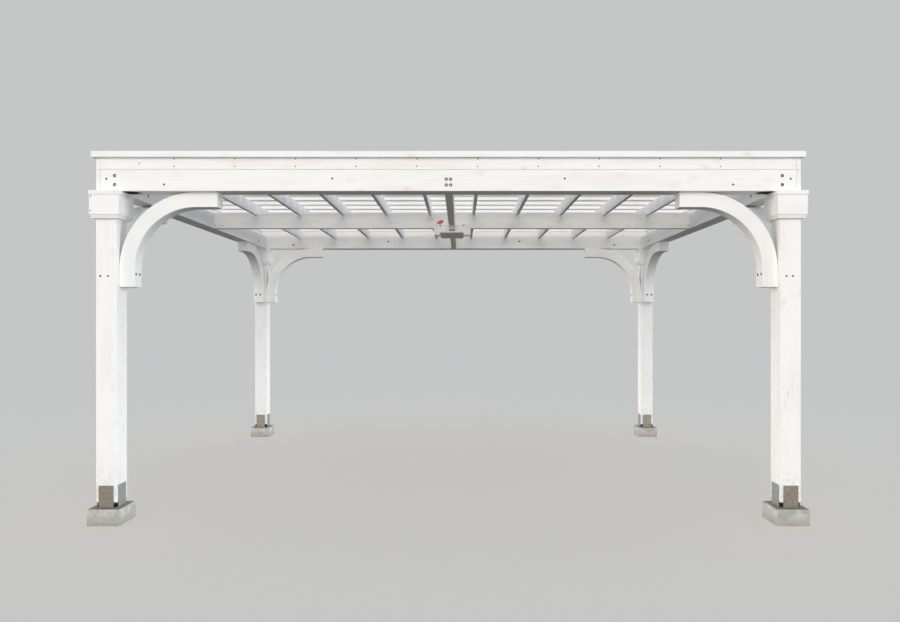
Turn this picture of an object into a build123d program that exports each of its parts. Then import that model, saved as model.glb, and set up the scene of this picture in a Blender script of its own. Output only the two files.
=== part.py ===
from build123d import *
import os

os.makedirs("parts", exist_ok=True)

# All sizes in millimetres. Ground level is z = 0, the plan centre is x = y = 0,
# the front of the pergola faces -y and its long side lies along x.

# Overall frame
post_size = 190
post_length = 2880
span_x = 6330
span_y = 4670
board = 38

# Footings and steel bases
pier_size = 305
pier_height = 150
pier_chamfer = 12
stand_off = 50
strap_width = 138
strap_thickness = 5
strap_reach = 156

# Capitals
capital_height = 184
capital_reach = 42
crown_height = 38
crown_lip = 6
bed_height = 32
bed_fillet = 13
bed_foot = 29
bed_quirk = 4
bed_head = 40

# Curved braces, with the bend measured at the middle of the timber
brace_size = 140
brace_radius = 645
brace_leg = 170
brace_arm = 200

# Beams, fascias, rafters, cap and slats
beam_height = 197
middle_beam_width = 89
centre_beam_width = 2 * board
fascia_height = 110
rafter_height = 140
rafter_count = 10
cap_thickness = 56
cap_width = 89
cap_overhang = 32
slat_pitch = 308
slat_end_gap = 100
slat_width = 45
slat_height = 38

# Centre mounting block
mount_width = 297
mount_depth = 573
mount_plate_thickness = 20
mount_drop = 89
mount_board_length = 460
mount_board_height = 140
cable_slot_height = 23
cable_slot_drop = 16

# Steel hangers at the centre beam
hanger_flange = 45
hanger_rise = 31
hanger_fall = 36
hanger_depth = 60
hanger_steel = 3

# Derived levels
post_bottom = pier_height + stand_off
beam_bottom = post_bottom + post_length
beam_top = beam_bottom + beam_height
rafter_top = beam_top + fascia_height
rafter_bottom = rafter_top - rafter_height
mount_bottom = beam_bottom - mount_drop
capital_bottom = beam_bottom - crown_height - capital_height - bed_height

# Derived plan distances from the centre
outer_x = span_x / 2 + post_size / 2
outer_y = span_y / 2 + post_size / 2
inner_x = span_x / 2 - post_size / 2
inner_y = span_y / 2 - post_size / 2
face_x = outer_x - board
face_y = outer_y - board
cap_outer_x = outer_x + cap_overhang
cap_outer_y = outer_y + cap_overhang
cap_inner_x = cap_outer_x - cap_width
cap_inner_y = cap_outer_y - cap_width
rafter_pitch = (2 * inner_x + board) / (rafter_count + 1)

# As many slats as fit between the front and rear caps, with one in the middle
slats_each_side = int((cap_inner_y - slat_end_gap - slat_width / 2) // slat_pitch)
slat_count = 2 * slats_each_side + 1

corners = {
    "front_left": (-1, -1),
    "front_right": (1, -1),
    "rear_left": (-1, 1),
    "rear_right": (1, 1),
}


def finish(builder, label):
    builder.part.label = label
    export_step(builder.part, "parts/" + label + ".step")


def block(x0, x1, y0, y1, z0, z1, label):
    with BuildPart() as piece:
        with Locations(((x0 + x1) / 2, (y0 + y1) / 2, z0)):
            Box(x1 - x0, y1 - y0, z1 - z0, align=(Align.CENTER, Align.CENTER, Align.MIN))
    finish(piece, label)


# Concrete piers with a small chamfer round the top
with BuildPart() as piers:
    with BuildSketch(Plane.XY):
        with GridLocations(span_x, span_y, 2, 2):
            Rectangle(pier_size, pier_size)
    extrude(amount=pier_height)
    chamfer(piers.faces().group_by(Axis.Z)[-1].edges(), length=pier_chamfer)
finish(piers, "piers")

# Steel post bases: a bearing plate on four straps, one on each face of the post
for name, (sx, sy) in corners.items():
    with BuildPart() as base:
        with Locations((sx * span_x / 2, sy * span_y / 2, post_bottom)):
            Box(post_size, post_size, strap_thickness, align=(Align.CENTER, Align.CENTER, Align.MAX))
        with Locations((sx * span_x / 2, sy * span_y / 2, pier_height)):
            with PolarLocations(post_size / 2, 4):
                Box(
                    strap_thickness,
                    strap_width,
                    stand_off + strap_reach,
                    align=(Align.MIN, Align.CENTER, Align.MIN),
                )
    finish(base, "post_base_" + name)

# Square timber posts
for name, (sx, sy) in corners.items():
    x = sx * span_x / 2
    y = sy * span_y / 2
    half = post_size / 2
    block(x - half, x + half, y - half, y + half, post_bottom, beam_bottom, "post_" + name)

# Capitals: one moulded section carried round the post head, with a fillet, a quirk and a
# cove at its foot, plain boards over them and a crown under the beam
board_foot = bed_height
board_head = bed_height + capital_height
crown_head = board_head + crown_height
cove_foot = bed_foot + bed_quirk
for name, (sx, sy) in corners.items():
    x = sx * span_x / 2
    y = sy * span_y / 2
    half = post_size / 2
    with BuildPart() as capital:
        with BuildLine(Plane.XY.offset(capital_bottom)):
            Polyline(
                (x, y - half),
                (x - half, y - half),
                (x - half, y + half),
                (x + half, y + half),
                (x + half, y - half),
                close=True,
            )
        with BuildSketch(Plane(origin=(x, y - half, capital_bottom), x_dir=(0, -1, 0), z_dir=(-1, 0, 0))):
            with BuildLine():
                Polyline(
                    (0, crown_head),
                    (0, 0),
                    (bed_foot, 0),
                    (bed_foot, bed_fillet),
                    (cove_foot, bed_fillet),
                )
                TangentArc((cove_foot, bed_fillet), (bed_head, board_foot), tangent=(0, 1))
                Polyline(
                    (bed_head, board_foot),
                    (capital_reach, board_foot),
                    (capital_reach, board_head),
                    (capital_reach + crown_lip, board_head),
                    (capital_reach + crown_lip, crown_head),
                    (0, crown_head),
                )
            make_face()
        sweep(transition=Transition.RIGHT)
    finish(capital, "capital_" + name)

# Curved braces: a straight leg on the post, a quarter bend, a straight arm under the beam
brace_path_top = beam_bottom - brace_size / 2


def brace(start_x, start_y, dir_x, dir_y, label):
    reach = brace_size / 2
    foot = Vector(start_x + dir_x * reach, start_y + dir_y * reach, 0)
    across = Vector(dir_x, dir_y, 0)
    p0 = foot + Vector(0, 0, brace_path_top - brace_radius - brace_leg)
    p1 = foot + Vector(0, 0, brace_path_top - brace_radius)
    p2 = foot + across * brace_radius + Vector(0, 0, brace_path_top)
    p3 = p2 + across * brace_arm
    with BuildPart() as arm:
        with BuildLine() as path:
            Line(p0, p1)
            TangentArc(p1, p2, tangent=(0, 0, 1))
            Line(p2, p3)
        with BuildSketch(Plane(origin=p0, x_dir=(1, 0, 0), z_dir=(0, 0, 1))):
            Rectangle(brace_size, brace_size)
        sweep()
    finish(arm, label)


# Cross braces are flush with the inner faces of the posts, side braces are centred on them
brace_line_x = span_x / 2
brace_line_y = inner_y + brace_size / 2
for name, (sx, sy) in corners.items():
    brace(sx * inner_x, sy * brace_line_y, -sx, 0, "brace_cross_" + name)
    brace(sx * brace_line_x, sy * inner_y, 0, -sy, "brace_side_" + name)

# Perimeter beams: front and rear pass between the side face boards
for name, sy in (("front", -1), ("rear", 1)):
    y0, y1 = sorted((sy * inner_y, sy * outer_y))
    block(-face_x, face_x, y0, y1, beam_bottom, beam_top, "beam_" + name)
for name, sx in (("left", -1), ("right", 1)):
    x0, x1 = sorted((sx * inner_x, sx * face_x))
    block(x0, x1, -inner_y, inner_y, beam_bottom, beam_top, "beam_" + name)
    x0, x1 = sorted((sx * face_x, sx * outer_x))
    block(x0, x1, -outer_y, outer_y, beam_bottom, beam_top, "face_board_" + name)

# Middle beam from side to side, and the centre beam in a front and a rear length
half_middle = middle_beam_width / 2
half_centre = centre_beam_width / 2
block(-inner_x, inner_x, -half_middle, half_middle, beam_bottom, beam_top, "beam_middle")
for name, sy in (("front", -1), ("rear", 1)):
    y0, y1 = sorted((sy * half_middle, sy * inner_y))
    block(-half_centre, half_centre, y0, y1, beam_bottom, beam_top, "beam_centre_" + name)

# Fascias round the rafter layer
for name, sy in (("front", -1), ("rear", 1)):
    y0, y1 = sorted((sy * face_y, sy * outer_y))
    block(-face_x, face_x, y0, y1, beam_top, rafter_top, "fascia_" + name)
for name, sx in (("left", -1), ("right", 1)):
    x0, x1 = sorted((sx * face_x, sx * outer_x))
    block(x0, x1, -outer_y, outer_y, beam_top, rafter_top, "fascia_" + name)

# Rafters on edge between the fascias, notched down over the front, middle and rear beams
rafter_planes = [
    Plane.YZ.offset((index - (rafter_count - 1) / 2) * rafter_pitch)
    for index in range(rafter_count)
]
with BuildPart() as rafters:
    with BuildSketch(*rafter_planes):
        with BuildLine():
            Polyline(
                (-face_y, rafter_top),
                (face_y, rafter_top),
                (face_y, beam_top),
                (inner_y, beam_top),
                (inner_y, rafter_bottom),
                (half_middle, rafter_bottom),
                (half_middle, beam_top),
                (-half_middle, beam_top),
                (-half_middle, rafter_bottom),
                (-inner_y, rafter_bottom),
                (-inner_y, beam_top),
                (-face_y, beam_top),
                close=True,
            )
        make_face()
    extrude(amount=board / 2, both=True)
finish(rafters, "rafters")

# Cap boards, mitred at the corners
for name, sy in (("front", -1), ("rear", 1)):
    with BuildPart() as cap:
        with BuildSketch(Plane.XY.offset(rafter_top)):
            with BuildLine():
                Polyline(
                    (-cap_outer_x, sy * cap_outer_y),
                    (cap_outer_x, sy * cap_outer_y),
                    (cap_inner_x, sy * cap_inner_y),
                    (-cap_inner_x, sy * cap_inner_y),
                    close=True,
                )
            make_face()
        extrude(amount=cap_thickness)
    finish(cap, "cap_" + name)
for name, sx in (("left", -1), ("right", 1)):
    with BuildPart() as cap:
        with BuildSketch(Plane.XY.offset(rafter_top)):
            with BuildLine():
                Polyline(
                    (sx * cap_outer_x, -cap_outer_y),
                    (sx * cap_outer_x, cap_outer_y),
                    (sx * cap_inner_x, cap_inner_y),
                    (sx * cap_inner_x, -cap_inner_y),
                    close=True,
                )
            make_face()
        extrude(amount=cap_thickness)
    finish(cap, "cap_" + name)

# Slats across the rafters, between the side caps
with BuildPart() as slats:
    with BuildSketch(Plane.YZ):
        with Locations((0, rafter_top)):
            with GridLocations(slat_pitch, 1, slat_count, 1):
                Rectangle(slat_width, slat_height, align=(Align.CENTER, Align.MIN))
    extrude(amount=cap_inner_x, both=True)
finish(slats, "slats")

# Centre mounting boards on both faces of the middle beam. Each is notched round the
# centre beam at the top and over the plate at the bottom, with a slot for a cable.
slot_top = beam_bottom - cable_slot_drop
for name, sy in (("front", -1), ("rear", 1)):
    with BuildPart() as mount_board:
        with BuildSketch(Plane.XZ.offset(-sy * half_middle)):
            with Locations((0, mount_bottom)):
                Rectangle(mount_board_length, mount_board_height, align=(Align.CENTER, Align.MIN))
                Rectangle(
                    mount_width,
                    mount_plate_thickness,
                    align=(Align.CENTER, Align.MIN),
                    mode=Mode.SUBTRACT,
                )
            with Locations((0, beam_bottom)):
                Rectangle(
                    centre_beam_width,
                    mount_board_height - mount_drop,
                    align=(Align.CENTER, Align.MIN),
                    mode=Mode.SUBTRACT,
                )
            with Locations((0, slot_top)):
                Rectangle(
                    centre_beam_width,
                    cable_slot_height,
                    align=(Align.CENTER, Align.MAX),
                    mode=Mode.SUBTRACT,
                )
        extrude(amount=-sy * board)
    finish(mount_board, "mount_board_" + name)

# Mounting plate for a fan or lamp
with BuildPart() as mount_plate:
    with BuildSketch(Plane.XY.offset(mount_bottom)):
        Rectangle(mount_width, mount_depth)
    extrude(amount=mount_plate_thickness)
finish(mount_plate, "mount_plate")

# Steel hangers: a folded seat round the foot of the centre beam, with a flange on each side
board_face = half_middle + board
seat_width = centre_beam_width + 2 * hanger_steel
with BuildPart() as hangers:
    for sy in (-1, 1):
        with BuildSketch(Plane.XZ.offset(-sy * board_face)):
            with Locations((0, beam_bottom - hanger_steel)):
                Rectangle(seat_width, hanger_rise + hanger_steel, align=(Align.CENTER, Align.MIN))
            with Locations((0, beam_bottom)):
                Rectangle(
                    centre_beam_width,
                    hanger_rise,
                    align=(Align.CENTER, Align.MIN),
                    mode=Mode.SUBTRACT,
                )
        extrude(amount=-sy * hanger_depth)
        with BuildSketch(Plane.XZ.offset(-sy * board_face)):
            for sx in (-1, 1):
                with Locations((sx * (half_centre + hanger_flange / 2), beam_bottom - hanger_fall)):
                    Rectangle(
                        hanger_flange,
                        hanger_rise + hanger_fall,
                        align=(Align.CENTER, Align.MIN),
                    )
        extrude(amount=-sy * hanger_steel)
finish(hangers, "centre_hangers")
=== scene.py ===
import math
import random

import bmesh
import bpy
from mathutils import Matrix, Vector, noise


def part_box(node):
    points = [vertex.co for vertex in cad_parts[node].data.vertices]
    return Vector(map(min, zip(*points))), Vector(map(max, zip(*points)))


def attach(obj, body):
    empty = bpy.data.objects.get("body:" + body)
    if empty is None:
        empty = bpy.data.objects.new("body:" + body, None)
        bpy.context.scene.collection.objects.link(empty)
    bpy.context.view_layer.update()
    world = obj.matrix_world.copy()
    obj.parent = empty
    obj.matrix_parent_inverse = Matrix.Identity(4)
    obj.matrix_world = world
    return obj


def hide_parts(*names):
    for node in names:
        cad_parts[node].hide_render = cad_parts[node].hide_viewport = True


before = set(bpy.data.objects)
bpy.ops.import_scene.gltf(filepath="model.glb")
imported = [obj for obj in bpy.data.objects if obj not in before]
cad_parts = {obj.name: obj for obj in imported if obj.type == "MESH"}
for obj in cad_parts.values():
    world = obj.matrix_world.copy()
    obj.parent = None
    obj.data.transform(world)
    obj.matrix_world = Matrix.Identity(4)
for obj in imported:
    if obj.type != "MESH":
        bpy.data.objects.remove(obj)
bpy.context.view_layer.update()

bl_info = {
    "name": "Pergola finish",
    "version": (1, 0, 0),
    "blender": (4, 5, 0),
    "location": "3D View > Sidebar > Pergola",
    "description": "Eased timbers, fixings, paint, steel and concrete of a painted pergola",
    "category": "Object",
}

# The way from the middle of the pergola to each corner post
corners = {
    "front_left": Vector((-1, -1, 0)),
    "front_right": Vector((1, -1, 0)),
    "rear_left": Vector((-1, 1, 0)),
    "rear_right": Vector((1, 1, 0)),
}
axes = (Vector((1, 0, 0)), Vector((0, 1, 0)), Vector((0, 0, 1)))
up = axes[2]


def middle(node):
    """Centre of a node's box."""
    low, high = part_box(node)
    return (low + high) / 2


def nodes_named(*starts):
    """Names of the nodes that start with one of these words."""
    return [name for name in sorted(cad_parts) if name.startswith(starts)]


def linear(hex_colour):
    """A colour written as an sRGB hex value, as linear red, green, blue and alpha."""
    channels = [int(hex_colour[i : i + 2], 16) / 255 for i in (0, 2, 4)]
    curve = [c / 12.92 if c <= 0.04045 else ((c + 0.055) / 1.055) ** 2.4 for c in channels]
    return (*curve, 1.0)


def length(name, description, default):
    """A size that a user may change."""
    return bpy.props.FloatProperty(
        name=name, description=description, default=default, min=0.0, unit="LENGTH", precision=4
    )


def colour(name, description, hex_colour):
    """A colour that a user may change."""
    return bpy.props.FloatVectorProperty(
        name=name,
        description=description,
        default=linear(hex_colour),
        size=4,
        min=0.0,
        max=1.0,
        subtype="COLOR",
    )


def level(name, description, default):
    """The strength of a light."""
    return bpy.props.FloatProperty(name=name, description=description, default=default, min=0.0)


class PergolaTimberSettings(bpy.types.PropertyGroup):
    """Sizes and colours of the painted timber."""

    easing: length("Edge easing", "How far the planed edges are rounded", 0.003)
    board: length("Board", "How far the capital boards stand off the post", 0.042)
    crown: length("Crown", "Height of the strip at the top of a capital", 0.038)
    crown_lip: length("Crown lip", "How far the crown stands out over the boards", 0.006)
    bed: length("Bed mould", "Height of the mould at the foot of a capital", 0.032)
    bend: length("Brace bend", "Radius of a brace at the middle of its timber", 0.645)
    paint: colour("Paint", "White exterior paint", "F5F4F0")
    tint: colour("Timber tint", "Pine that shows through where the coat is thin", "DFCDBE")
    knot: colour("Knot", "Resin that bleeds through the paint at a knot", "B9A595")
    crack_shade: colour("Crack", "Shade in the drying cracks", "8C8278")
    soil: colour("Soil", "Rain splash on the feet of the posts", "9C8B75")
    bare: colour("Bare timber", "Red primer and timber where the paint is knocked off", "BC705B")
    # A near-black ragged patch on the underside of the front beam, next to each capital
    dark_soffit_patch: colour("Missed timber", "Grey rough timber that the brush missed", "1F1C1A")
    # The bore colour is bare timber darkened to nearly black: painted shade in the bored recesses
    bore: colour("Bore", "Bare timber inside the bored recesses", "1E1A17")
    joint: length("Joint", "How far the ends of the outer boards stand apart", 0.0016)
    board_easing: length("Board edge easing", "How far the capital boards are rounded", 0.0015)


class PergolaSteelSettings(bpy.types.PropertyGroup):
    """Sizes and colours of the steel."""

    screw_bore: length("Screw bore", "Radius of a sunk screw's recess", 0.0095)
    screw_sink: length("Screw depth", "Depth of a sunk screw's recess", 0.0050)
    stout_bore: length("Stout bore", "Radius of a stout screw's recess", 0.0138)
    stout_sink: length("Stout depth", "Depth of a stout screw's recess", 0.0100)
    lag_bore: length("Lag bore", "Radius of a lag bolt's counterbore", 0.0160)
    lag_sink: length("Lag depth", "Depth of a lag bolt's counterbore", 0.0140)
    bolt_bore: length("Bolt bore", "Radius of a centre bolt's counterbore", 0.0160)
    bolt_sink: length("Bolt depth", "Depth of a centre bolt's counterbore", 0.0120)
    nail_bore: length("Nail bore", "Radius of a set nail's recess", 0.0060)
    nail_sink: length("Nail depth", "Depth of a set nail's recess", 0.0030)
    button: length("Button screw", "Radius of a domed screw on the steel bases", 0.0065)
    strap_easing: length("Strap edge easing", "How far the edges of a base are rounded", 0.0012)
    hanger_easing: length("Hanger edge easing", "How far a hanger's edges are rounded", 0.0008)
    zinc: colour("Zinc", "Weathered galvanised steel", "919C9F")
    # Brown laid over the faces that look to the front, and over scattered stains
    brown_tone: colour("Dust", "Brown dust on the steel that faces the path", "857A6B")
    coating: colour("Screw coating", "Dark coating of the timber screws", "1A1715")


class PergolaConcreteSettings(bpy.types.PropertyGroup):
    """Sizes and colours of the concrete."""

    corner: length("Worn corner", "How far the corners of a pier are rounded", 0.010)
    wear: length("Wear", "How deep the skin of a pier is worn", 0.0012)
    shade: colour("Shade", "Cement in the darker clouds", "AFADA6")
    cement: colour("Cement", "Cement in the paler clouds", "D2D1CB")
    sand: colour("Sand", "Sand grains in the cement", "8E8B84")
    soil: colour("Soil", "Soil stains round the foot", "7B6E58")
    pore_shade: colour("Air hole", "Shade in the air holes", "4B4740")
    mud: colour("Mud", "Dried mud on the top", "6F6353")


class PergolaStageSettings(bpy.types.PropertyGroup):
    """The studio and the camera."""

    floor: colour("Floor", "Pale floor", "E0D2C0")
    glow: colour("Floor glow", "What is added to the floor and the backdrop for the eye", "928B84")
    ground: colour("Ground light", "What the floor throws back at the object", "857868")
    sky: colour("Sky", "Soft light from all round above", "C6E0FF")
    sky_level: level("Sky level", "Strength of the soft light from above", 0.64)
    front_level: level("Front light", "Strength of the wide light from above the camera", 1.18)
    low_level: level("Low light", "Strength of the low light in under the roof", 1.00)
    side_level: level("Side lights", "Strength of the light from the left and the right", 1.60)
    rear_level: level("Rear lights", "Strength of the light from the rear corners", 1.20)
    back_level: level("Back light", "Strength of the light from behind", 0.75)
    front: colour("Front light colour", "Wide soft light from the front", "FFEDD4")
    low: colour("Low light colour", "Soft light in under the roof", "EFF1F2")
    warm: colour("Left light", "Warm soft light from the left", "FFEFE3")
    cool: colour("Right light", "Cool soft light from the right", "F4F9FF")
    rear: colour("Rear light colour", "Soft light from behind", "FFF8F0")
    distance: length("Camera distance", "From the camera to the front beam", 6.039)
    drop: length("Camera drop", "From the underside of the beams down to the camera", 1.220)
    aside: length("Camera aside", "How far the camera stands right of the middle", 0.114)


# Shader nodes


def add_node(tree, kind, inputs=None, **settings):
    """Adds a node, sets its properties, and fills or links its sockets by name or number. A
    node that is given for a socket is linked from its first output in use."""
    made = tree.nodes.new("ShaderNode" + kind)
    for key, value in settings.items():
        setattr(made, key, value)
    for key, value in (inputs or {}).items():
        if isinstance(value, bpy.types.Node):
            value = next(socket for socket in value.outputs if socket.enabled)
        if isinstance(value, bpy.types.NodeSocket):
            tree.links.new(value, made.inputs[key])
        else:
            made.inputs[key].default_value = value
    return made


def new_material(name):
    """A material with an empty node tree, and that tree."""
    made = bpy.data.materials.new(name)
    made.use_nodes = True
    made.node_tree.nodes.clear()
    return made, made.node_tree


def closed(made, surface):
    """Ends a material with a shader of these values."""
    shader = add_node(made.node_tree, "BsdfPrincipled", surface)
    add_node(made.node_tree, "OutputMaterial", {"Surface": shader})
    return made


# Socket numbers of the colour mix node, and the setting that gives a range soft ends
MIX_A, MIX_B = 6, 7
SOFT = {"interpolation_type": "SMOOTHSTEP"}


def laid_over(tree, body, *layers):
    """A colour with others laid over it. A layer is its mask, its strength and its colour."""
    for mask, strength, shade in layers:
        share = add_node(tree, "Math", {0: mask, 1: strength}, operation="MULTIPLY")
        body = add_node(tree, "Mix", {0: share, MIX_A: body, MIX_B: shade}, data_type="RGBA")
    return body


def summed(tree, *parts):
    """The sum of some values, each times its weight. A weight may be a node's value too."""
    total = 0.0
    for value, weight in parts:
        total = add_node(tree, "Math", {0: value, 1: weight, 2: total}, operation="MULTIPLY_ADD")
    return total


def figure(tree, grain, along, across, detail, low=None, high=None):
    """Noise drawn out along the grain: along and across are its sizes in metres. Where low
    and high are given, it goes softly from 0 to 1 between them."""
    laid = add_node(
        tree, "Mapping", {"Vector": grain, "Scale": (1 / along, 1 / across, 1 / across)}
    )
    made = add_node(tree, "TexNoise", {"Vector": laid, "Scale": 1.0, "Detail": detail})
    if low is None:
        return made
    return add_node(tree, "MapRange", {"Value": made, "From Min": low, "From Max": high}, **SOFT)


def spots(tree, place, apart, *edges):
    """Masks of scattered soft spots, one for each pair of edges: 0 outside the first edge and
    1 inside the second. Apart is in metres, and the edges are shares of it."""
    cells = add_node(tree, "TexVoronoi", {"Vector": place, "Scale": 1 / apart})
    return [
        add_node(tree, "MapRange", {"Value": cells, "From Min": rim, "From Max": core}, **SOFT)
        for rim, core in edges
    ]


def between(tree, vector, axis, start, end):
    """How far a place or a direction is from start, 0, to end, 1, along an axis."""
    where = add_node(tree, "SeparateXYZ", {"Vector": vector}).outputs[axis]
    return add_node(tree, "MapRange", {"Value": where, "From Min": start, "From Max": end}, **SOFT)


def patch(tree, place, centre, half, turn, edge):
    """A ragged patch at one place on the object: 1 inside and 0 outside."""
    local = add_node(
        tree,
        "Mapping",
        {"Vector": place, "Location": centre, "Rotation": (0, turn, 0), "Scale": half},
        vector_type="TEXTURE",
    )
    ball = add_node(tree, "TexGradient", {"Vector": local}, gradient_type="SPHERICAL")
    rough = summed(tree, (ball.outputs["Fac"], 1.0), edge)
    return add_node(tree, "MapRange", {"Value": rough, "From Min": 0.52, "From Max": 0.58}, **SOFT)


# Materials


def painted_pine(name, thin, cracks, soiled=False, patches=()):
    """Exterior white paint, brushed along planed pine in a thin coat: matte and slightly warm,
    with knots and summer wood that ghost through, brush marks and a few drying cracks that are
    darkened with painted shade."""
    timber = bpy.context.scene.pergola_timber
    made, tree = new_material(name)
    grain = add_node(tree, "Attribute", attribute_name="grain").outputs["Vector"]
    place = add_node(tree, "TexCoord").outputs["Object"]

    # Summer wood lies in bands of about 9 mm, drawn out over most of a metre
    bands = figure(tree, grain, 0.90, 0.009, 3.0, 0.48, 0.72)
    # The coat is thinner in clouds of about 120 mm by 600 mm
    clouds = figure(tree, grain, 0.60, 0.12, 4.0, 0.46, 0.70)
    # Knots lie about 240 mm apart along the timber and are up to 40 mm wide
    laid = add_node(tree, "Mapping", {"Vector": grain, "Scale": (1 / 0.24, 1 / 0.13, 1 / 0.13)})
    halo, core = spots(tree, laid, 1.0, (0.30, 0.10), (0.09, 0.03))
    through = summed(tree, (bands, 0.14), (clouds, 0.22), (halo, 0.22))
    # Drying cracks are 2 to 4 mm wide, up to 150 mm long, and run with the grain; their dark
    # colour is painted shade
    split = figure(tree, grain, 0.16, 0.010, 1.0, 0.755, 0.80)
    layers = [
        (through, thin, timber.tint),
        (core, 0.32 * thin, timber.knot),
        (split, cracks, timber.crack_shade),
    ]
    # Patches have a rim that is ragged by 18 to 30 mm
    edge = (figure(tree, place, 0.030, 0.018, 3.0), 0.6)
    for centre, half, turn, shade in patches:
        layers.append((patch(tree, place, centre, half, turn, edge), 1.0, shade))
    if soiled:
        # Rain throws soil up the lowest 600 mm, in specks of about 30 mm
        splash = between(tree, place, "Z", 0.62, 0.20)
        specks = figure(tree, place, 0.030, 0.030, 5.0, 0.38, 0.66)
        layers.append((summed(tree, (splash, specks)), 0.30, timber.soil))

    # Brush marks are about 2 mm apart, and the planed face waves by a fraction of a millimetre
    marks = figure(tree, grain, 0.16, 0.002, 2.0)
    rise = summed(tree, (marks, 0.30), (bands, 0.50), (split, -2.0 * cracks))
    matte = {"Value": clouds, "To Min": 0.78, "To Max": 0.90}
    surface = {
        "Base Color": laid_over(tree, timber.paint, *layers),
        "Roughness": add_node(tree, "MapRange", matte, **SOFT),
        "Normal": add_node(tree, "Bump", {"Height": rise, "Distance": 0.0008, "Strength": 0.8}),
        "IOR": 1.45,
        "Specular IOR Level": 0.14,
    }
    return closed(made, surface)


def galvanised_steel(name):
    """Hot-dip galvanised steel, weathered: matte grey zinc with a faint spangle, brown stains, and
    brown laid over the faces that look to the front."""
    steel = bpy.context.scene.pergola_steel
    made, tree = new_material(name)
    place = add_node(tree, "TexCoord").outputs["Object"]
    normal = add_node(tree, "NewGeometry").outputs["Normal"]
    # Faces that look to the front get brown laid over them, and brown stains are scattered over
    # all faces
    front = between(tree, normal, "Y", -0.3, -0.9)
    # Spangle crystals are about 14 mm across
    crystals = add_node(tree, "TexVoronoi", {"Vector": place, "Scale": 1 / 0.014})
    tone = add_node(tree, "SeparateColor", {"Color": crystals.outputs["Color"]})
    stains = figure(tree, place, 0.035, 0.035, 5.0, 0.40, 0.66)
    darker = [0.62 * c for c in steel.zinc[:3]] + [1.0]
    brown_mask = summed(tree, (front, 0.70), (stains, 0.35))
    rough = {"Value": stains, "To Min": 0.42, "To Max": 0.62}
    surface = {
        "Base Color": laid_over(tree, steel.zinc, (tone, 0.35, darker), (brown_mask, 1.0, steel.brown_tone)),
        "Metallic": 0.75,
        "Roughness": add_node(tree, "MapRange", rough, **SOFT),
        "Normal": add_node(tree, "Bump", {"Height": stains, "Distance": 0.0006, "Strength": 0.6}),
    }
    return closed(made, surface)


def bore_wall_in_painted_shade():
    """Bare pine inside a bored recess: rough and greyed, and darkened to nearly black as painted
    shade in the recess. Made once.
    """
    name = "bare_pine_in_bores"
    if name in bpy.data.materials:
        return bpy.data.materials[name]
    made, tree = new_material(name)
    place = add_node(tree, "TexCoord").outputs["Object"]
    # Torn fibres are about 3 mm long
    fibres = figure(tree, place, 0.003, 0.003, 3.0, 0.35, 0.65)
    bore = bpy.context.scene.pergola_timber.bore
    lighter = [1.6 * c for c in bore[:3]] + [1.0]
    body = laid_over(tree, bore, (fibres, 1.0, lighter))
    return closed(made, {"Base Color": body, "Roughness": 0.9})


def coated_steel(name):
    """Dark coated timber screws and the shade in their recesses: nearly black, half matte."""
    made, tree = new_material(name)
    place = add_node(tree, "TexCoord").outputs["Object"]
    # The coating is worn in specks of about 4 mm
    wear = figure(tree, place, 0.004, 0.004, 3.0, 0.45, 0.65)
    coating = bpy.context.scene.pergola_steel.coating
    lighter = [2.0 * c for c in coating[:3]] + [1.0]
    body = laid_over(tree, coating, (wear, 1.0, lighter))
    return closed(made, {"Base Color": body, "Roughness": 0.6})


def painted_steel(name, worn):
    """Lag bolt heads and the hanger with paint brushed over the zinc: mostly white, worn to
    grey at the high spots. Worn is how much of the zinc comes through there."""
    made, tree = new_material(name)
    place = add_node(tree, "TexCoord").outputs["Object"]
    # The worn spots are about 8 mm across
    wear = figure(tree, place, 0.008, 0.008, 4.0, 0.42, 0.60)
    scene = bpy.context.scene
    body = laid_over(tree, scene.pergola_timber.paint, (wear, worn, scene.pergola_steel.zinc))
    return closed(made, {"Base Color": body, "Roughness": 0.5})


def cast_concrete(name):
    """Cast concrete footings: matte pale grey with sand, small air holes darkened with painted
    shade, soil stains round the foot and a skin of dried mud on top."""
    concrete = bpy.context.scene.pergola_concrete
    made, tree = new_material(name)
    place = add_node(tree, "TexCoord").outputs["Object"]
    normal = add_node(tree, "NewGeometry").outputs["Normal"]
    # Clouds are about 90 mm across, and sand grains are drawn at 4 mm so that they show
    clouds = figure(tree, place, 0.09, 0.09, 5.0, 0.36, 0.68)
    sand = figure(tree, place, 0.004, 0.004, 4.0)
    # Air holes are 3 to 6 mm wide and lie about 22 mm apart, and their dark colour is painted
    # shade
    (pores,) = spots(tree, place, 0.022, (0.20, 0.10))
    # Soil reaches 110 mm up the sides, and mud lies on what looks up
    soil = summed(tree, (between(tree, place, "Z", 0.11, 0.0), clouds))
    mud = summed(tree, (between(tree, normal, "Z", 0.6, 0.95), sand))
    body = laid_over(
        tree,
        concrete.shade,
        (clouds, 1.0, concrete.cement),
        (sand, 0.35, concrete.sand),
        (soil, 0.55, concrete.soil),
        (pores, 0.6, concrete.pore_shade),
        (mud, 1.5, concrete.mud),
    )
    rise = summed(tree, (sand, 1.0), (pores, -1.5))
    bump = add_node(tree, "Bump", {"Height": rise, "Distance": 0.003, "Strength": 0.8})
    return closed(made, {"Base Color": body, "Roughness": 0.92, "Normal": bump})


# Shapes


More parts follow.
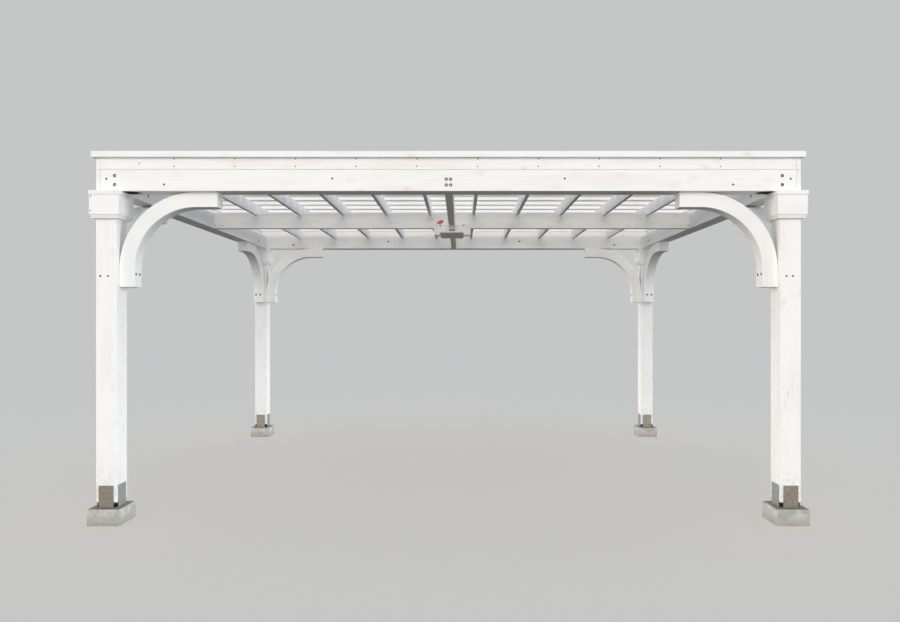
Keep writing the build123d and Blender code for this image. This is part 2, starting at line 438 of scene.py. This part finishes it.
def put(shape, name, material, slot, *replaced):
    """Makes a finished piece of a bmesh: it rides on the frame and stands for the nodes."""
    mesh = bpy.data.meshes.new(name)
    has_bores = any(face.material_index == 1 for face in shape.faces)
    shape.to_mesh(mesh)
    shape.free()
    piece = bpy.data.objects.new(name, mesh)
    bpy.context.scene.collection.objects.link(piece)
    mesh.materials.append(material)
    # The walls of the bores take bare timber painted nearly black, as shade in the recesses
    if has_bores:
        mesh.materials.append(bore_wall_in_painted_shade())
    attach(piece, "root")
    if replaced:
        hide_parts(*replaced)
    return piece


def merged_copy(node):
    """A node's own shape, with its loose triangles merged into whole faces."""
    shape = bmesh.new()
    shape.from_mesh(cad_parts[node].data)
    touching, flat = 0.00002, math.radians(0.5)
    bmesh.ops.remove_doubles(shape, verts=shape.verts, dist=touching)
    bmesh.ops.dissolve_limit(shape, angle_limit=flat, verts=shape.verts, edges=shape.edges)
    return shape


def bevelled(shape, edges, width, segments):
    """Rounds some edges of a shape."""
    bmesh.ops.bevel(
        shape,
        geom=edges,
        offset=width,
        offset_type="OFFSET",
        segments=segments,
        profile=0.5,
        affect="EDGES",
        material=-1,
        clamp_overlap=True,
    )


def ease(shape, width):
    """Rounds the sharp edges of a shape."""
    least = math.radians(32)
    sharp = [edge for edge in shape.edges if edge.calc_face_angle(0.0) > least]
    bevelled(shape, sharp, width, 2)


def add_block(shape, low, high):
    """Adds a rectangular block between two corners."""
    size = Vector(high) - Vector(low)
    place = Matrix.Translation((Vector(low) + Vector(high)) / 2) @ Matrix.Diagonal((*size, 1))
    bmesh.ops.create_cube(shape, size=1.0, matrix=place)


def islands(shape):
    """The separate solids of a shape, each as its list of vertices."""
    left = set(shape.verts)
    found = []
    while left:
        group = []
        waiting = [left.pop()]
        while waiting:
            vert = waiting.pop()
            group.append(vert)
            for edge in vert.link_edges:
                other = edge.other_vert(vert)
                if other in left:
                    left.remove(other)
                    waiting.append(other)
        found.append(group)
    found.sort(key=lambda group: tuple(min(round(v.co[i], 4) for v in group) for i in range(3)))
    return found


def straight_grain(group):
    """How a straight timber's points lie to its grain, which runs along its longest side."""
    size = [max(v.co[i] for v in group) - min(v.co[i] for v in group) for i in range(3)]
    along = size.index(max(size))
    order = (along, (along + 1) % 3, (along + 2) % 3)
    return lambda point: Vector([point[i] for i in order])


def lay_grain(shape, seed, run=None):
    """Gives every timber of a shape its own stretch of grain, along its length."""
    draw = random.Random(seed)
    layer = shape.verts.layers.float_vector.new("grain")
    for group in islands(shape):
        start = Vector([draw.uniform(0, 40) for _ in range(3)])
        where = run or straight_grain(group)
        for vert in group:
            vert[layer] = where(vert.co) + start


def soft_curves(shape):
    """Shades curved faces as smooth and keeps every real corner sharp."""
    corner = math.radians(14)
    for face in shape.faces:
        face.smooth = True
    for edge in shape.edges:
        edge.smooth = edge.calc_face_angle(0.0) < corner


def turned_to(point, normal):
    """A matrix that puts a shape made along +Z at a point, looking along a normal."""
    return Matrix.Translation(point) @ Vector(normal).to_track_quat("Z", "Y").to_matrix().to_4x4()


def bored(shape, holes):
    """Cuts the recesses of fixings into a shape. Their walls take its second material."""
    if not holes:
        return shape
    cutters = bmesh.new()
    steel = bpy.context.scene.pergola_steel
    # How much of its width a recess has left at its bottom
    narrower = 0.96
    for kind, point, normal in holes:
        radius = getattr(steel, kind + "_bore")
        depth = getattr(steel, kind + "_sink")
        bmesh.ops.create_cone(
            cutters,
            cap_ends=True,
            segments=14,
            radius1=radius * narrower,
            radius2=radius,
            depth=2 * depth,
            matrix=turned_to(point, normal),
        )
    for face in cutters.faces:
        face.material_index = 1
    solids = []
    for name, source in (("timber", shape), ("bores", cutters)):
        mesh = bpy.data.meshes.new(name)
        source.to_mesh(mesh)
        source.free()
        for _ in range(2):
            mesh.materials.append(None)
        solids.append(bpy.data.objects.new(name, mesh))
        bpy.context.scene.collection.objects.link(solids[-1])
    cut = solids[0].modifiers.new("bores", "BOOLEAN")
    cut.operation = "DIFFERENCE"
    cut.solver = "EXACT"
    cut.object = solids[1]
    made = bmesh.new()
    made.from_object(solids[0], bpy.context.evaluated_depsgraph_get())
    for solid in solids:
        mesh = solid.data
        bpy.data.objects.remove(solid)
        bpy.data.meshes.remove(mesh)
    return made


# Where the fixings sit. A fixing is its kind, the point on the face and the way it looks.
# Places count from the middle of the pergola and heights from the ground, in metres, and they
# follow the heads that can be seen.

inner_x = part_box("post_front_right")[0].x
inner_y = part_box("post_rear_left")[0].y
beam_low, beam_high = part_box("beam_front")
beam_foot = beam_low.z
fascia_foot = beam_high.z
fascia_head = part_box("fascia_front")[1].z
outer_y = beam_high.y - beam_low.y + inner_y

# How far a post's screws are off its middle, and how far they stand to each side of that
post_screws = {
    "front_left": (-0.019, 0.036),
    "front_right": (-0.009, 0.030),
    "rear_left": (0.0, 0.036),
    "rear_right": (0.0, 0.036),
}


def post_fixings(node):
    """Two screws through each outer face of a post into the feet of its braces."""
    corner = node.removeprefix("post_")
    side = corners[corner]
    centre = middle(node)
    low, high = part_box(node)
    face_x = high.x if side.x > 0 else low.x
    face_y = high.y if side.y > 0 else low.y
    height = 2.294
    drift, reach = post_screws[corner]
    found = []
    for step in (-reach, reach):
        spot = Vector((centre.x + drift + step, face_y, height))
        found.append(("screw", spot, side.y * axes[1]))
        found.append(("screw", Vector((face_x, centre.y + step, height)), side.x * axes[0]))
    return found


def capital_fixings(node):
    """Two nails through the outer board of a left capital into its side board. On the right
    capitals the nails are filled and painted over."""
    sizes = bpy.context.scene.pergola_timber
    side = corners[node.removeprefix("capital_")]
    if side.x > 0:
        return []
    low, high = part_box(node)
    centre = middle(node)
    face = centre.y + side.y * ((high.y - low.y) / 2 - sizes.crown_lip)
    # How far the nails are from the foot, the head and the middle line of the board
    over_foot, under_head, aside = 0.034, 0.018, 0.121
    found = []
    for height in (low.z + sizes.bed + over_foot, high.z - sizes.crown - under_head):
        found.append(("nail", Vector((centre.x - aside, face, height)), side.y * axes[1]))
    return found


def brace_lie(node):
    """How a brace lies: the axis along its arm, the axis across, the way to its post, where
    the post and the end of the arm are along the arm, and the width of its timber."""
    along, across = (0, 1) if "cross" in node else (1, 0)
    outward = corners[node.split("_", 2)[2]][along]
    low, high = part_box(node)
    post_face, arm_end = high[along], low[along]
    if outward < 0:
        post_face, arm_end = arm_end, post_face
    return along, across, outward, post_face, arm_end, high[across] - low[across]


def brace_fixings(node):
    """Two screws in the foot of a brace's leg and two up through the end of its arm."""
    along, across, outward, post_face, arm_end, width = brace_lie(node)
    low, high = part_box(node)
    over_foot, from_end = 0.122, 0.095
    found = []
    for step in (-0.036, 0.034):
        foot = Vector((0, 0, low.z + over_foot))
        foot[along] = post_face - outward * width
        foot[across] = middle(node)[across] + step
        found.append(("stout", foot, -outward * axes[along]))
        end = Vector((0, 0, high.z - width))
        end[along] = arm_end + outward * from_end
        end[across] = middle(node)[across] + step
        found.append(("screw", end, -up))
    return found


# Fixings of the front and rear beams: how far they are to each side, and how high
beam_screws = ((2.632, 3.140), (1.075, 3.195))
beam_bolts = (
    ("lag", 3.087, 3.222),
    ("lag", 3.087, 3.138),
    ("screw", 3.165, 3.193),
    ("bolt", 0.020, 3.189),
    ("bolt", 0.020, 3.1355),
)


def long_beam_fixings(node):
    """Sunk screws on both faces of a long beam. On its outer face there are also the bolts
    into the ends of the side beams and of the centre beam."""
    side = -1 if node.endswith("front") else 1
    found = []
    for face, normal, kind in (
        (side * outer_y, side * axes[1], "screw"),
        (side * inner_y, -side * axes[1], "stout"),
    ):
        for x, height in beam_screws:
            for end in (-1, 1):
                found.append((kind, Vector((end * x, face, height)), normal))
    for end in (-1, 1):
        for kind, x, height in beam_bolts:
            found.append((kind, Vector((end * x, side * outer_y, height)), side * axes[1]))
    return found


def side_beam_fixings(node):
    """A screw near each end of a side beam, on its inner face."""
    side = -1 if node.endswith("left") else 1
    out, height = 1.814, 3.150
    places = [Vector((side * inner_x, end * out, height)) for end in (-1, 1)]
    return [("stout", place, -side * axes[0]) for place in places]


def middle_beam_fixings(node):
    """Toe nails where the middle beam meets the side beams."""
    low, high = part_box(node)
    height = 3.119
    found = []
    for end in (-1, 1):
        for out in (3.052, 2.963):
            found.append(("nail", Vector((end * out, low.y, height)), -axes[1]))
            found.append(("nail", Vector((end * out, high.y, height)), axes[1]))
    return found


def rafter_lines():
    """Where the rafters lie from left to right."""
    rafters = merged_copy("rafters")
    lines = [sum(v.co.x for v in group) / len(group) for group in islands(rafters)]
    rafters.free()
    return lines


def outer_side(node):
    """Which way a front or rear node looks, and where its outer face is."""
    low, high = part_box(node)
    return (-1, low.y) if node.endswith("front") else (1, high.y)


def fascia_fixings(node):
    """Two nails through the long fascias into the end of every rafter, and one near the left."""
    side, face = outer_side(node)
    # How far the nails are left of a rafter's middle line, over the foot and under the head
    lower, upper = (0.012, 0.031), (0.010, 0.010)
    lone_x, lone_rise = -2.860, 0.058
    places = []
    for line in rafter_lines():
        places.append((line - lower[0], fascia_foot + lower[1]))
        places.append((line - upper[0], fascia_head - upper[1]))
    places.append((lone_x, fascia_foot + lone_rise))
    return [("nail", Vector((x, face, height)), side * axes[1]) for x, height in places]


def mount_board_fixings(node):
    """Screws through the centre boards into the middle beam."""
    side, face = outer_side(node)
    out, over_foot = 0.149, 0.032
    places = [Vector((end * out, face, beam_foot + over_foot)) for end in (-1, 1)]
    return [("screw", place, side * axes[1]) for place in places]


def mount_plate_fixings(node):
    """Screws up through the centre plate, near its corners."""
    low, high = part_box(node)
    from_end, from_side = 0.045, 0.060
    x, y = high.x - from_end, high.y - from_side
    places = ((-x, -y), (-x, y), (x, -y), (x, y))
    return [("screw", Vector((*place, low.z)), -up) for place in places]


# Which nodes have which fixings, by how their names start
fixing_rules = {
    ("post_front", "post_rear"): post_fixings,
    "capital_": capital_fixings,
    "brace_": brace_fixings,
    ("beam_front", "beam_rear"): long_beam_fixings,
    ("beam_left", "beam_right"): side_beam_fixings,
    "beam_middle": middle_beam_fixings,
    ("fascia_front", "fascia_rear"): fascia_fixings,
    "mount_board": mount_board_fixings,
    "mount_plate": mount_plate_fixings,
}


def fixings(node):
    """All fixings of a node."""
    for start, rule in fixing_rules.items():
        if node.startswith(start):
            return rule(node)
    return []


def open_joints(shape, node):
    """Draws in the ends of a beam or fascia and the foot of a fascia, so that joints show."""
    gap = bpy.context.scene.pergola_timber.joint
    low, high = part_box(node)
    along = 0 if high.x - low.x > high.y - low.y else 1
    for vert in shape.verts:
        vert.co[along] -= math.copysign(gap, vert.co[along])
        if node.startswith("fascia") and vert.co.z < low.z + gap:
            vert.co.z += gap


def timber(node, material, slot="painted_timber", run=None):
    """One node's timber with eased edges, recesses for its fixings and its own grain."""
    shape = merged_copy(node)
    if node.startswith(("fascia_", "beam_front", "beam_rear")):
        open_joints(shape, node)
    ease(shape, bpy.context.scene.pergola_timber.easing)
    shape = bored(shape, fixings(node))
    lay_grain(shape, node, run)
    soft_curves(shape)
    return put(shape, "painted_" + node, material, slot, node)


def brace_run(node):
    """How the points of a brace lie to its grain, which follows the bend."""
    along, across, _, post_face, _, width = brace_lie(node)
    bend = bpy.context.scene.pergola_timber.bend
    reach = bend + width / 2
    centre_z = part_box(node)[1].z - reach

    def where(point):
        out = reach - abs(point[along] - post_face)
        rise = point.z - centre_z
        if rise < 0:
            return Vector((rise, out, point[across]))
        if out < 0:
            return Vector((bend * math.pi / 2 - out, rise, point[across]))
        turn = math.atan2(rise, out)
        return Vector((bend * turn, math.hypot(rise, out), point[across]))

    return where


def add_board(shape, low, high, holes):
    """Adds a board between two corners, with eased edges and recesses for its fixings."""
    board = bmesh.new()
    add_block(board, low, high)
    ease(board, bpy.context.scene.pergola_timber.board_easing)
    board = bored(board, holes)
    mesh = bpy.data.meshes.new("board")
    board.to_mesh(mesh)
    board.free()
    shape.from_mesh(mesh)
    bpy.data.meshes.remove(mesh)


def capital(node, material):
    """A boxed capital: front and rear boards lap the side boards, with crown strips over
    them and a coved bed mould under them."""
    sizes = bpy.context.scene.pergola_timber
    low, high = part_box(node)
    centre = middle(node)
    half = (high.x - low.x) / 2 - sizes.crown_lip - sizes.board
    shape = bmesh.new()
    board_head = high.z - sizes.crown
    board_foot = low.z + sizes.bed
    fixed = capital_fixings(node)
    hair = 0.001
    for foot, head, reach in (
        (board_foot, board_head, half + sizes.board),
        (board_head, high.z, half + sizes.board + sizes.crown_lip),
    ):
        for way in (-1, 1):
            y0, y1 = sorted((centre.y + way * half, centre.y + way * reach))
            holes = []
            for hole in fixed:
                if foot < hole[1].z < head and y0 - hair < hole[1].y < y1 + hair:
                    holes.append(hole)
            low_end, high_end = (centre.x - reach, y0, foot), (centre.x + reach, y1, head)
            add_board(shape, low_end, high_end, holes)
            x0, x1 = sorted((centre.x + way * half, centre.x + way * reach))
            add_board(shape, (x0, centre.y - half, foot), (x1, centre.y + half, head), [])
    add_cove(shape, centre, half, low.z, board_foot)
    lay_grain(shape, node)
    soft_curves(shape)
    return put(shape, "painted_" + node, material, "painted_timber", node)


def add_cove(shape, centre, half, foot, head):
    """Adds the bed mould: a fillet, a quirk and a hollow, mitred round the post."""
    # Height of the fillet, and how far it, the quirk over it and the head stand out
    fillet, fillet_out, quirk, head_out = 0.013, 0.029, 0.004, 0.040
    hollow_out = fillet_out + quirk
    rise = head - foot - fillet
    run = head_out - hollow_out
    radius = (run**2 + rise**2) / (2 * run)
    steps = 6
    section = [(0.0, head - foot), (0.0, 0.0), (fillet_out, 0.0), (fillet_out, fillet)]
    whole = math.asin(rise / radius)
    for step in range(steps + 1):
        turn = whole * step / steps
        out = hollow_out + radius * (1 - math.cos(turn))
        section.append((out, fillet + radius * math.sin(turn)))
    rings = []
    for out, up_by in section:
        spot = Matrix.Translation((centre.x, centre.y, foot + up_by))
        made = bmesh.ops.create_circle(
            shape,
            cap_ends=False,
            segments=4,
            radius=(half + out) * math.sqrt(2),
            matrix=spot @ Matrix.Rotation(math.radians(45), 4, "Z"),
        )
        rings.append(list(dict.fromkeys(e for v in made["verts"] for e in v.link_edges)))
    faces = []
    for first, second in zip(rings, rings[1:] + rings[:1]):
        faces += bmesh.ops.bridge_loops(shape, edges=first + second)["faces"]
    bmesh.ops.recalc_face_normals(shape, faces=faces)


def piers(material):
    """Cast footings with worn corners and a slightly uneven skin."""
    concrete = bpy.context.scene.pergola_concrete
    low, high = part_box("piers")
    line = middle("post_rear_right")
    half = high.x - line.x
    shape = bmesh.new()
    for side in corners.values():
        x, y = side.x * line.x, side.y * line.y
        add_block(shape, (x - half, y - half, low.z), (x + half, y + half, high.z))
    hair = 0.001
    height = high.z - low.z
    top_edges = [e for e in shape.edges if all(v.co.z > high.z - hair for v in e.verts)]
    upright = [e for e in shape.edges if abs(e.verts[0].co.z - e.verts[1].co.z) > height / 2]
    bevelled(shape, top_edges + upright, concrete.corner, 3)
    # Whole sides are cut into steps of up to 16 mm, and the rounded corners stay as they are
    long_edges = [e for e in shape.edges if e.calc_length() > height / 2]
    bmesh.ops.subdivide_edges(shape, edges=long_edges, cuts=18, use_grid_fill=True)
    bmesh.ops.triangulate(shape, faces=[f for f in shape.faces if len(f.verts) > 4])
    shape.normal_update()
    for vert in shape.verts:
        if vert.co.z < low.z + hair:
            continue
        # Hollows are about 50 mm across, with pits of 13 mm in them
        wave = noise.noise(vert.co / 0.05) + 0.6 * noise.noise(vert.co / 0.013)
        vert.co -= vert.normal * concrete.wear * max(0.0, wave + 0.4)
    for face in shape.faces:
        face.smooth = True
    return put(shape, "cast_piers", material, "concrete", "piers")


# Operators


class PERGOLA_OT_footings(bpy.types.Operator):
    """Makes the concrete piers and the steel post bases"""

    bl_idname = "pergola.footings"
    bl_label = "Footings"

    def execute(self, context):
        piers(cast_concrete("cast_concrete"))
        zinc = galvanised_steel("galvanised_steel")
        for node in nodes_named("post_base_"):
            shape = merged_copy(node)
            ease(shape, context.scene.pergola_steel.strap_easing)
            put(shape, "weathered_" + node, zinc, "galvanised_steel", node)
        return {"FINISHED"}


class PERGOLA_OT_posts(bpy.types.Operator):
    """Makes the four posts and their capitals"""

    bl_idname = "pergola.posts"
    bl_label = "Posts and capitals"

    def execute(self, context):
        post_paint = painted_pine("white_paint_on_posts", 0.65, 0.5, soiled=True)
        board_paint = painted_pine("white_paint_on_boards", 0.7, 0.25)
        for node in nodes_named("post_front", "post_rear"):
            timber(node, post_paint)
        for node in nodes_named("capital_"):
            capital(node, board_paint)
        return {"FINISHED"}


class PERGOLA_OT_braces(bpy.types.Operator):
    """Makes the eight curved braces"""

    bl_idname = "pergola.braces"
    bl_label = "Braces"

    def execute(self, context):
        paint = painted_pine("white_paint_on_braces", 0.6, 0.2)
        for node in nodes_named("brace_"):
            timber(node, paint, run=brace_run(node))
        return {"FINISHED"}


class PERGOLA_OT_beams(bpy.types.Operator):
    """Makes the beams, the side face boards and the centre block"""

    bl_idname = "pergola.beams"
    bl_label = "Beams"

    def execute(self, context):
        colours = context.scene.pergola_timber
        # A patch is its middle, its half size, how far it is turned, and its colour
        scrape = Vector((-0.150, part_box("beam_middle")[0].y, beam_foot + 0.078))
        patches = [(scrape, (0.060, 0.050, 0.031), -0.50, colours.bare)]
        # Near-black ragged patches on the underside of the front beam, next to each capital
        for end in (-1, 1):
            dark_soffit_patch = Vector((end * (inner_x - 0.074), -outer_y + 0.085, beam_foot))
            patches.append((dark_soffit_patch, (0.150, 0.090, 0.010), 0.0, colours.dark_soffit_patch))
        paint = painted_pine("white_paint_on_beams", 0.8, 0.3, patches=patches)
        for node in nodes_named("beam_", "face_board_", "mount_board_", "mount_plate"):
            timber(node, paint)
        hanger = merged_copy("centre_hangers")
        ease(hanger, context.scene.pergola_steel.hanger_easing)
        steel = painted_steel("painted_hanger_steel", 0.5)
        put(hanger, "painted_centre_hangers", steel, "painted_timber", "centre_hangers")
        return {"FINISHED"}


class PERGOLA_OT_roof(bpy.types.Operator):
    """Makes the fascias, rafters, slats and cap boards"""

    bl_idname = "pergola.roof"
    bl_label = "Roof"

    def execute(self, context):
        edge_paint = painted_pine("white_paint_on_roof_edge", 0.8, 0.3)
        roof_paint = painted_pine("white_paint_on_roof_timbers", 0.6, 0.2)
        for node in nodes_named("fascia_", "cap_"):
            timber(node, edge_paint)
        for node in ("rafters", "slats"):
            timber(node, roof_paint, "painted_roof_timber")
        return {"FINISHED"}


class PERGOLA_OT_fixings(bpy.types.Operator):
    """Sets the screws, lag bolts and nails in their recesses"""

    bl_idname = "pergola.fixings"
    bl_label = "Fixings"

    def execute(self, context):
        steel = context.scene.pergola_steel
        dark, heads, bare = bmesh.new(), bmesh.new(), bmesh.new()
        # How much of its recess a screw fills
        filled = 0.94
        for node in sorted(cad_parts):
            for kind, point, normal in fixings(node):
                sink = getattr(steel, kind + "_sink")
                bore = getattr(steel, kind + "_bore")
                if kind in ("lag", "bolt"):
                    worn = kind == "lag" and point.x > 0
                    add_lag(bare if worn else heads, dark, point - normal * sink, normal, bore)
                else:
                    add_screw(dark, point - normal * sink, normal, bore * filled)
        for node in nodes_named("post_base_"):
            add_strap_screws(bare, node, steel.button)
        for shape in (dark, heads, bare):
            soft_curves(shape)
        put(dark, "timber_screws", coated_steel("coated_screw_steel"), "galvanised_steel")
        put(heads, "bolt_heads", painted_steel("painted_bolt_steel", 0.7), "galvanised_steel")
        put(bare, "bare_steel_heads", bpy.data.materials["galvanised_steel"], "galvanised_steel")
        return {"FINISHED"}


def add_stub(shape, point, normal, segments, radius, top_radius, depth):
    """Adds a short round or many-sided stub that stands on a point, and gives its top face."""
    made = bmesh.ops.create_cone(
        shape,
        cap_ends=True,
        segments=segments,
        radius1=radius,
        radius2=top_radius,
        depth=depth,
        matrix=turned_to(point + normal * depth / 2, normal),
    )
    faces = {face for vert in made["verts"] for face in vert.link_faces}
    return max(faces, key=lambda face: face.calc_center_median().dot(normal))


def add_screw(shape, point, normal, radius):
    """Adds the head of a sunk screw with its drive hole, at the bottom of its recess."""
    rise = rim = radius * 0.35
    top_radius, drive_depth = radius * 0.75, rise * 0.6
    top = add_stub(shape, point, normal, 10, radius, top_radius, rise)
    bmesh.ops.inset_individual(shape, faces=[top], thickness=rim, depth=0.0)
    for vert in top.verts:
        vert.co -= normal * drive_depth


def add_lag(shape, washers_as_shade, point, normal, bore):
    """Adds a lag bolt: a nearly black washer at the bottom of the counterbore, as painted shade
    round the head, and a six-sided head.
    """
    washer, head, chamfer = 0.002, 0.0065, 0.001
    # The washer goes into the nearly black screw steel, so that it stands as painted shade in a
    # ring round the head
    add_stub(washers_as_shade, point, normal, 16, bore * 0.94, bore * 0.92, washer)
    top = add_stub(shape, point + normal * washer, normal, 6, bore * 0.50, bore * 0.50, head)
    bevelled(shape, list(top.edges), chamfer, 1)


def add_strap_screws(shape, node, radius):
    """Adds two domed screws on each strap of a steel base."""
    low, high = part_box(node)
    centre = middle(node)
    flatter = 0.45
    for turn in range(4):
        turned = Matrix.Rotation(turn * math.pi / 2, 3, "Z")
        normal = turned @ -axes[1]
        # How far aside of the strap's middle a screw is, and how far under the strap's head
        for aside, under_head in ((-0.031, 0.037), (0.034, 0.147)):
            point = centre + normal * (high.x - centre.x) + turned @ axes[0] * aside
            point.z = high.z - under_head
            dome = bmesh.ops.create_uvsphere(
                shape, u_segments=12, v_segments=6, radius=radius, matrix=turned_to(point, normal)
            )
            low_verts = [v for v in dome["verts"] if (v.co - point).dot(normal) < -0.0002]
            bmesh.ops.delete(shape, geom=low_verts, context="VERTS")
            for vert in dome["verts"]:
                if vert.is_valid:
                    vert.co -= normal * (vert.co - point).dot(normal) * flatter


class PERGOLA_OT_stage(bpy.types.Operator):
    """Lays the floor and sets the lamps and the camera"""

    bl_idname = "pergola.stage"
    bl_label = "Stage"

    def execute(self, context):
        floor = lay_floor()
        light_sky()
        place_lamps(floor)
        place_camera()
        return {"FINISHED"}


def seen_directly(tree):
    """1 for what the eye sees, also in a reflection, and 0 for light that bounces."""
    path = add_node(tree, "LightPath").outputs
    seen = path["Is Camera Ray"]
    for ray in ("Is Glossy Ray", "Is Transmission Ray"):
        seen = add_node(tree, "Math", {0: seen, 1: path[ray]}, operation="MAXIMUM")
    return seen


def lay_floor():
    """A pale floor that keeps the shadows and throws back less light than it shows."""
    stage = bpy.context.scene.pergola_stage
    made, tree = new_material("pale_floor")
    seen = seen_directly(tree)
    body = laid_over(tree, stage.ground, (seen, 1.0, stage.floor))
    matte = add_node(tree, "BsdfDiffuse", {"Color": body})
    glow = add_node(tree, "Emission", {"Color": stage.glow, "Strength": seen})
    both = add_node(tree, "AddShader", {0: matte, 1: glow})
    add_node(tree, "OutputMaterial", {"Surface": both})
    # The floor reaches further than any view shows
    reach = 150.0
    disc = bmesh.new()
    bmesh.ops.create_circle(disc, cap_ends=True, segments=96, radius=reach)
    mesh = bpy.data.meshes.new("floor")
    disc.to_mesh(mesh)
    disc.free()
    mesh.materials.append(made)
    floor = bpy.data.objects.new("floor", mesh)
    bpy.context.scene.collection.objects.link(floor)
    return floor


def light_sky():
    """Even light from the sky, and a background as bright as the open floor."""
    stage = bpy.context.scene.pergola_stage
    world = bpy.data.worlds.new("studio")
    world.use_nodes = True
    tree = world.node_tree
    tree.nodes.clear()
    light = [stage.sky_level * c for c in stage.sky[:3]]
    open_floor = [shade * c + g for shade, c, g in zip(stage.floor, light, stage.glow)]
    body = laid_over(tree, [*light, 1.0], (seen_directly(tree), 1.0, [*open_floor, 1.0]))
    sky = add_node(tree, "Background", {"Color": body, "Strength": 1.0})
    add_node(tree, "OutputWorld", {"Surface": sky})
    bpy.context.scene.world = world


def place_lamps(floor):
    """Wide soft lights from all sides, warm from the left and cool from the right. They
    leave the floor to the sky, so that no second shadows fall on it."""
    stage = bpy.context.scene.pergola_stage
    unlit = bpy.data.collections.new("left_to_the_sky")
    unlit.objects.link(floor)
    unlit.collection_objects[0].light_linking.link_state = "EXCLUDE"
    # How wide each light is in the sky, which makes its shadows soft
    width = math.radians(28)
    # Each light's name, how far it is turned round and up, its colour and its strength
    for name, azimuth, height, tone, strength in (
        ("front_light", 0, 24, stage.front, stage.front_level),
        ("low_light", 0, 0, stage.low, stage.low_level),
        ("left_light", -80, 6, stage.warm, stage.side_level),
        ("right_light", 80, 6, stage.cool, stage.side_level),
        ("rear_left_light", -125, 6, stage.rear, stage.rear_level),
        ("rear_right_light", 125, 6, stage.rear, stage.rear_level),
        ("back_light", 180, 20, stage.rear, stage.back_level),
    ):
        lamp = bpy.data.lights.new(name, "SUN")
        lamp.energy = strength
        lamp.angle = width
        lamp.color = tone[:3]
        holder = bpy.data.objects.new(name, lamp)
        holder.light_linking.receiver_collection = unlit
        holder.light_linking.blocker_collection = unlit
        holder.rotation_euler = (math.radians(90 - height), 0, math.radians(azimuth))
        bpy.context.scene.collection.objects.link(holder)


# The photograph's frame, in pixels, and where the lines square to the front meet in it
frame_wide, frame_high = 900, 622
meeting_x, meeting_y = 460.8, 322.9
focal_pixels = 653.0


def place_camera():
    """The camera looks square at the front, with the shift of the photograph's framing."""
    stage = bpy.context.scene.pergola_stage
    camera = bpy.data.cameras.new("camera")
    camera.sensor_width = 36.0
    camera.lens = focal_pixels / frame_wide * camera.sensor_width
    camera.shift_x = -(meeting_x - frame_wide / 2) / frame_wide
    camera.shift_y = (meeting_y - frame_high / 2) / frame_wide
    camera.clip_end = 400.0
    holder = bpy.data.objects.new("camera", camera)
    holder.location = (stage.aside, beam_low.y - stage.distance, beam_foot - stage.drop)
    holder.rotation_euler = (math.radians(90), 0, 0)
    bpy.context.scene.collection.objects.link(holder)
    bpy.context.scene.camera = holder


class PERGOLA_PT_sidebar(bpy.types.Panel):
    """Lists the steps and their settings in the sidebar"""

    bl_idname = "PERGOLA_PT_sidebar"
    bl_label = "Pergola"
    bl_space_type = "VIEW_3D"
    bl_region_type = "UI"
    bl_category = "Pergola"

    def draw(self, context):
        for group in setting_groups.values():
            settings = getattr(context.scene, group)
            for prop in settings.__annotations__:
                self.layout.prop(settings, prop)
        for step in steps:
            self.layout.operator(step.bl_idname)


setting_groups = {
    PergolaTimberSettings: "pergola_timber",
    PergolaSteelSettings: "pergola_steel",
    PergolaConcreteSettings: "pergola_concrete",
    PergolaStageSettings: "pergola_stage",
}
steps = (
    PERGOLA_OT_footings,
    PERGOLA_OT_posts,
    PERGOLA_OT_braces,
    PERGOLA_OT_beams,
    PERGOLA_OT_roof,
    PERGOLA_OT_fixings,
    PERGOLA_OT_stage,
)


def register():
    """Registers the settings, the operators and the panel."""
    for group, name in setting_groups.items():
        bpy.utils.register_class(group)
        setattr(bpy.types.Scene, name, bpy.props.PointerProperty(type=group))
    for made in (*steps, PERGOLA_PT_sidebar):
        bpy.utils.register_class(made)


def unregister():
    """Takes the settings, the operators and the panel away again."""
    for made in (PERGOLA_PT_sidebar, *reversed(steps)):
        bpy.utils.unregister_class(made)
    for group, name in setting_groups.items():
        delattr(bpy.types.Scene, name)
        bpy.utils.unregister_class(group)


def main():
    """Runs every step in order."""
    register()
    bpy.ops.pergola.footings()
    bpy.ops.pergola.posts()
    bpy.ops.pergola.braces()
    bpy.ops.pergola.beams()
    bpy.ops.pergola.roof()
    bpy.ops.pergola.fixings()
    bpy.ops.pergola.stage()
    bpy.context.scene.view_settings.view_transform = "Standard"


if __name__ == "__main__":
    main()
